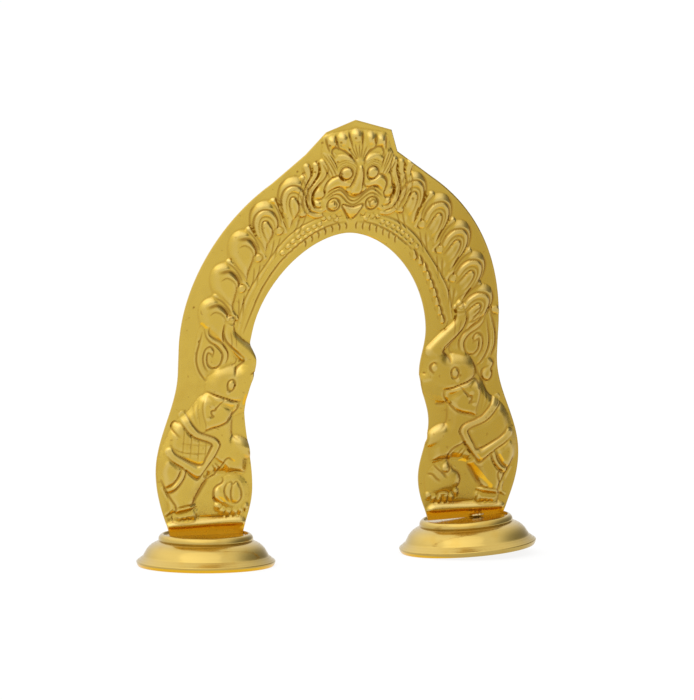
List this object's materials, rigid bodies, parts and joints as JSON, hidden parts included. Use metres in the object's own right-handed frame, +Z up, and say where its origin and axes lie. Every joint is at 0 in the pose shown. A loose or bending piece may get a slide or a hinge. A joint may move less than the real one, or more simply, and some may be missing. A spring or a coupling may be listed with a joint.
{
  "type": "prabhavali",
  "caption": "Ornamental brass arch of stamped sheet with a mask, plumes and elephants, soldered to round turned bases; it stands around a small idol.",
  "frame": {"origin": "on the floor, midway between the two bases", "axes": "+Z up, +X along the arch towards the right base as seen from the front, -Y towards the front"},
  "size_m": [0.1878, 0.062, 0.1983],
  "materials": {
    "stamped_brass": "polished and lacquered, with darker tarnish in the stamped hollows",
    "turned_brass": "satin, with fine turning lines",
    "solder": "as soldered, dull and lumpy"
  },
  "bodies": {
    "root": {"arch_sheet": "stamped_brass", "left_base": "turned_brass", "right_base": "turned_brass", "left_rear_solder": "solder", "right_rear_solder": "solder", "right_front_solder": "solder"}
  },
  "joints": []
}
